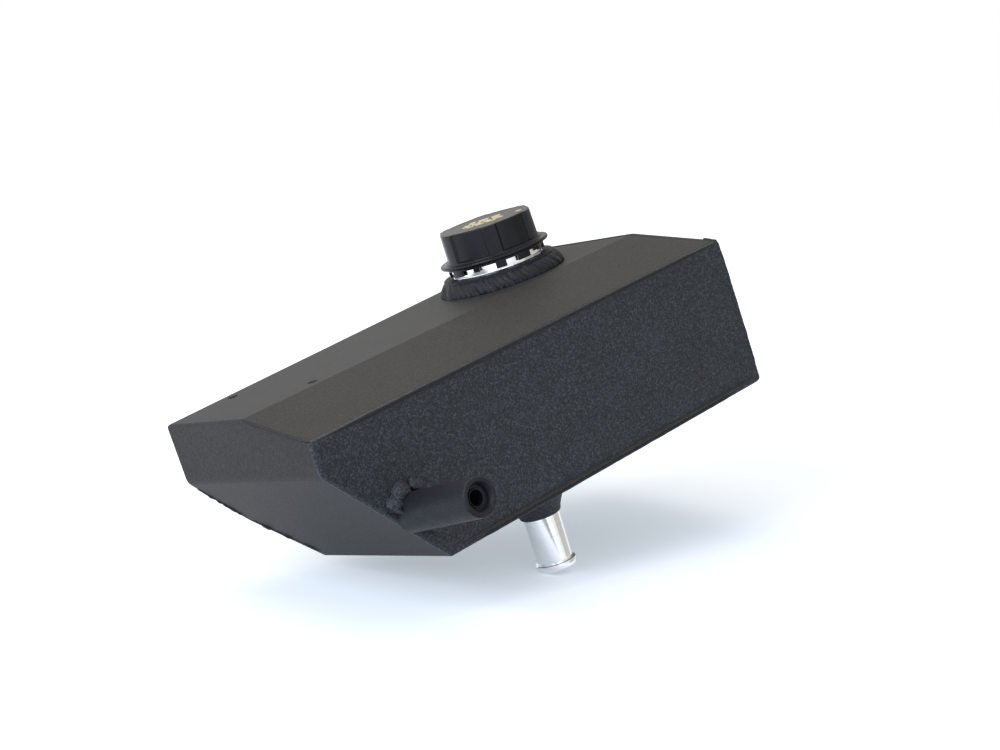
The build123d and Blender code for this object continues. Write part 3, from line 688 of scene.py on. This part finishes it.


# Seams that show through the coat along the edges of the front and the left end, and a strip of painted shade under
# the low one: a wavy rod along each, thin at both ends. Across is half its depth and half its height, and wave how
# much its girth wanders.
def makeSeams():
    size = {
        "low": {"start": (64.0, 0.1, 3.6), "end": (297.0, 0.1, 3.6), "across": (0.95, 0.95),
                "rings": 90, "wave": 0.12, "finish": fineCoat},
        # under: a rod of the darker weld coat, nearly flush just below the low seam's ridge: painted shade under it
        "under": {"start": (60.0, 0.6, 1.5), "end": (294.0, 0.6, 1.5), "across": (0.75, 1.3),
                  "rings": 60, "wave": 0.06, "finish": weldCoat},
        "fold": {"start": (1.5, 0.75, 82.35), "end": (298.5, 0.75, 82.35), "across": (1.2, 1.3),
                 "rings": 90, "wave": 0.08, "finish": weldCoat},
        "right": {"start": (298.75, 0.9, 5.5), "end": (298.75, 0.9, 81.5), "across": (1.1, 1.1),
                  "rings": 30, "wave": 0.12, "finish": coarseCoat},
        "lump": {"start": (298.5, 0.9, 82.3), "end": (298.0, 10.5, 84.9), "across": (1.4, 1.4),
                 "rings": 10, "wave": 0.14, "finish": weldCoat},
        "leftTop": {"start": (0.75, 1.4, 83.4), "end": (0.75, 47.0, 96.3), "across": (0.75, 0.75),
                    "rings": 24, "wave": 0.06, "finish": fineCoat},
        "leftMid": {"start": (4.0, 118.2, 61.6), "end": (27.4, 118.2, 35.0), "across": (1.2, 1.2),
                    "rings": 18, "wave": 0.25, "finish": weldCoat},
        "leftLow": {"start": (28.0, 118.0, 34.6), "end": (56.8, 104.0, 2.0), "across": (1.6, 1.6),
                    "rings": 16, "wave": 0.35, "finish": weldCoat},
    }
    tip = {"girth": 0.3, "growth": 6.0, "seed": 3}
    random.seed(tip["seed"])
    for name, seam in size.items():
        start = place(*seam["start"])
        way = place(*seam["end"]) - start
        pick()
        bpy.ops.mesh.primitive_circle_add(vertices=10, radius=mm, fill_type="NGON")
        piece = bpy.context.object
        startEdit(piece, "VERT")
        girth = tip["girth"]
        bpy.ops.transform.resize(value=(seam["across"][0], seam["across"][1], 1), center_override=(0, 0, 0))
        bpy.ops.transform.resize(value=(girth, girth, 1), center_override=(0, 0, 0))
        for ring in range(1, seam["rings"] + 1):
            part = ring / seam["rings"]
            fullest = min(1, tip["girth"] + tip["growth"] * part, tip["girth"] + tip["growth"] * (1 - part))
            nextGirth = fullest * (1 + random.uniform(-1, 1) * seam["wave"])
            step = way.length / seam["rings"]
            bpy.ops.mesh.extrude_region_move(TRANSFORM_OT_translate={"value": (0, 0, step)})
            share = nextGirth / girth
            bpy.ops.transform.resize(value=(share, share, 1), center_override=(0, 0, 0))
            girth = nextGirth
        closeMesh(piece)
        applyPlace(piece, Matrix.Translation(start) @ way.to_track_quat("Z", "Y").to_matrix().to_4x4())
        piece.name = name + "Seam"
        finishPiece(piece, "tank", [seam["finish"]], angle=60)


makeOutlet()
makePort()
makeSeams()
print("outlet, port and seams made")


# Blind threaded bungs let into the top, coated over with it and left open for their screws
def makeInserts():
    size = {"spots": [("mount_insert_1", 52.8, 59.1), ("mount_insert_2", 39.5, 113.02)], "bore": 2.5, "rim": 6.1,
            "threadDepth": 11.6, "pitch": 1.0, "turns": 11, "ridge": (0.28, 0.42)}
    bore = size["bore"]
    outline = [(bore, -12.0), (bore, -0.5), (bore + 0.5, 0), (size["rim"], 0), (size["rim"], -2.9)]
    outline += [(6.0, -2.9), (6.0, -14.0)]
    for nodeName, x, y in size["spots"]:
        body = turnPiece("insertBody", place(x, y, tank["topHeight"]), outline, steps=48, solid=True)
        foot = place(x, y, tank["topHeight"] - size["threadDepth"])
        thread = windPiece("insertThread", foot, bore, size["ridge"], sides=4, rise=size["pitch"] * size["turns"],
                           turns=size["turns"], stepsPerTurn=20)
        piece = joinPieces("mountInsert" + nodeName[-1], [body, thread])
        finishPiece(piece, "tank", [fineCoat], [nodeName])


# Coils of the two valves inside the cap, wound at one fixed length; the real ones close up as their valves open
def makeSprings():
    size = {"plateTop": 112.7, "length": 10.0, "radius": 9.5, "wire": 0.9, "turns": 3.5,
            "hubTop": 114.7, "smallLength": 4.0, "smallRadius": 2.45, "smallWire": 0.3, "smallTurns": 4.0}
    wire = size["wire"]
    foot = place(neck["x"], neck["y"], size["plateTop"] + wire)
    coil = windPiece("pressureSpringWound", foot, size["radius"], (wire, wire), sides=12,
                     rise=size["length"] - 2 * wire, turns=size["turns"], stepsPerTurn=40)
    finishPiece(coil, "cap_core", [springWire], ["pressure_spring"], angle=60)
    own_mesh(coil)
    wire = size["smallWire"]
    foot = place(neck["x"], neck["y"], size["hubTop"] + wire)
    coil = windPiece("vacuumSpringWound", foot, size["smallRadius"], (wire, wire), sides=8,
                     rise=size["smallLength"] - 2 * wire, turns=size["smallTurns"], stepsPerTurn=24)
    finishPiece(coil, "pressure_valve", [springWire], ["vacuum_spring"], angle=60)
    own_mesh(coil)


makeInserts()
makeSprings()
print("inserts and springs made")

# Camera, floor and light: the tank lies tipped on its lower left edge and the spigot's lip
stage = {
    "cameraSpot": (-541.6, -814.2, 271.1),
    "forward": (0.6201, 0.7619, -0.1872),
    "up": (0.3556, -0.0603, 0.9327),
    "lens": 76.575,
    "lookDown": 11.0,                       # degrees between the camera's way and the floor
    "floorSpot": (129.1, 29.8, -42.5),
    "floorSize": 6.0,                       # metres
    "floorGlow": (0.43, 0.72),              # near the tank and far from it
    "floorGlowReach": (0.15, 0.8),          # metres
    "cardLift": 2.0,                        # millimetres over the floor
    "skyLight": 0.48,
}
forward = Vector(stage["forward"]).normalized()
right = forward.cross(Vector(stage["up"])).normalized()
up = right.cross(forward)
cameraData = bpy.data.cameras.new("camera")
cameraData.sensor_width = 36
cameraData.lens = stage["lens"]
cameraData.clip_start = 0.05
camera = bpy.data.objects.new("camera", cameraData)
bpy.context.scene.collection.objects.link(camera)
cameraTurn = Matrix((right, up, -forward)).transposed().to_4x4()
camera.matrix_world = Matrix.Translation(place(*stage["cameraSpot"])) @ cameraTurn
bpy.context.scene.camera = camera

lookDown = math.radians(stage["lookDown"])
floorUp = up * math.cos(lookDown) - forward * math.sin(lookDown)
floorAway = floorUp.cross(right)


# 1 for what the camera sees, straight or in a mirror or through glass, and 0 for soft light
def seenDirectly(tree):
    path = addNode(tree, "ShaderNodeLightPath")
    seen = path.outputs["Is Camera Ray"]
    for ray in ("Is Glossy Ray", "Is Transmission Ray"):
        seen = addNode(tree, "ShaderNodeMath", {0: seen, 1: path.outputs[ray]}, operation="MAXIMUM").outputs[0]
    return seen


# White paper that the camera and bright metal see a little lighter, the further from the tank the more,
# and that can be looked through from below
def makeFloorPaint():
    material, tree, spot = startMaterial("whiteStudioPaper")
    paint = addNode(tree, "ShaderNodeBsdfDiffuse", {"Color": linearColour("eff3f8")})
    reach = addNode(tree, "ShaderNodeVectorMath", {0: spot}, operation="LENGTH")
    start, end = stage["floorGlowReach"]
    near, far = stage["floorGlow"]
    level = addNode(tree, "ShaderNodeMapRange", {"Value": reach.outputs["Value"], "From Min": start, "From Max": end,
                    "To Min": near, "To Max": far})
    glow = addNode(tree, "ShaderNodeEmission", {"Color": linearColour("ecf7ff"), "Strength": level.outputs[0]})
    lit = addNode(tree, "ShaderNodeAddShader", {0: paint.outputs[0], 1: glow.outputs[0]})
    shown = addNode(tree, "ShaderNodeMixShader", {0: seenDirectly(tree), 1: paint.outputs[0], 2: lit.outputs[0]})
    clear = addNode(tree, "ShaderNodeBsdfTransparent")
    side = addNode(tree, "ShaderNodeNewGeometry")
    both = addNode(tree, "ShaderNodeMixShader", {0: side.outputs["Backfacing"], 1: shown.outputs[0],
                   2: clear.outputs[0]})
    addNode(tree, "ShaderNodeOutputMaterial", {"Surface": both.outputs[0]})
    return material


pick()
bpy.ops.mesh.primitive_plane_add(size=stage["floorSize"])
floor = bpy.context.object
floor.name = "studioFloor"
floorTurn = Matrix((right, floorAway, floorUp)).transposed().to_4x4()
applyPlace(floor, Matrix.Translation(place(*stage["floorSpot"])) @ floorTurn)
floor.data.materials.append(makeFloorPaint())

# Cards that only bright metal sees: turn is the way to each from the spigot in degrees, distance, width and
# height are in metres. A flat one lies on the floor.
cards = {
    "greyCard": {"turn": -123.0, "distance": 0.3, "width": 0.18, "height": 0.36, "flat": True,
                 "colour": "e4e8ee", "level": 0.5},
    "beigeCard": {"turn": -2.0, "distance": 0.9, "width": 2.4, "height": 1.0, "flat": False,
                  "colour": "f3eee6", "level": 0.7},
}
for name, look in cards.items():
    pick()
    bpy.ops.mesh.primitive_plane_add(size=1)
    card = bpy.context.object
    card.name = name
    material, tree = startMaterial(name)[:2]
    glow = addNode(tree, "ShaderNodeEmission", {"Color": linearColour(look["colour"]), "Strength": look["level"]})
    addNode(tree, "ShaderNodeOutputMaterial", {"Surface": glow.outputs[0]})
    card.data.materials.append(material)
    turn = math.radians(look["turn"])
    way = Vector((math.cos(turn), math.sin(turn), 0))
    facing = way.to_track_quat("Z", "Y").to_matrix()
    if look["flat"]:
        way = (way - floorUp * way.dot(floorUp)).normalized()
        facing = Matrix((way.cross(floorUp), way, floorUp)).transposed()
    middle = place(*stage["floorSpot"]) + way * look["distance"] + floorUp * stage["cardLift"] * mm
    stretch = Matrix.Diagonal((look["width"], look["height"], 1, 1))
    applyPlace(card, Matrix.Translation(middle) @ facing.to_4x4() @ stretch)
    for ray in ("camera", "diffuse", "transmission", "volume_scatter", "shadow"):
        setattr(card, "visible_" + ray, False)

# Lamps: toward is the way to each from the tank (right, away, up), distance and size are in metres
lamps = {
    "topSoftbox": {"toward": (-0.25, 0.15, 1.0), "distance": 2.0, "size": 1.8, "watts": 14.0, "colour": "ffead4"},
    "leftSoftbox": {"toward": (-0.7, -0.75, 0.6), "distance": 2.2, "size": 1.3, "watts": 38.0, "colour": "e3ecff"},
    "frontFill": {"toward": (0.35, -1.0, 0.4), "distance": 1.8, "size": 1.0, "watts": 3.0, "colour": "e8f0ff"},
}
tankMiddle = place(tank["length"] / 2, tank["depth"] / 2, tank["topHeight"] / 2)
for name, look in lamps.items():
    toward = look["toward"]
    direction = (right * toward[0] + floorAway * toward[1] + floorUp * toward[2]).normalized()
    lampData = bpy.data.lights.new(name, "AREA")
    lampData.shape = "SQUARE"
    lampData.size = look["size"]
    lampData.energy = look["watts"]
    lampData.color = linearColour(look["colour"])[:3]
    lamp = bpy.data.objects.new(name, lampData)
    bpy.context.scene.collection.objects.link(lamp)
    lampTurn = direction.to_track_quat("Z", "Y").to_matrix().to_4x4()
    lamp.matrix_world = Matrix.Translation(tankMiddle + direction * look["distance"]) @ lampTurn

# Soft light from all around, and plain white where the camera sees past the floor
world = bpy.data.worlds.new("studio")
bpy.context.scene.world = world
world.use_nodes = True
tree = world.node_tree
tree.nodes.clear()
white = addNode(tree, "ShaderNodeBackground", {"Color": linearColour("ffffff"), "Strength": 1.0})
soft = addNode(tree, "ShaderNodeBackground", {"Color": linearColour("f0f3f8"), "Strength": stage["skyLight"]})
mixed = addNode(tree, "ShaderNodeMixShader", {0: seenDirectly(tree), 1: soft.outputs[0], 2: white.outputs[0]})
addNode(tree, "ShaderNodeOutputWorld", {"Surface": mixed.outputs[0]})
bpy.context.scene.view_settings.view_transform = "Standard"
print("stage set")
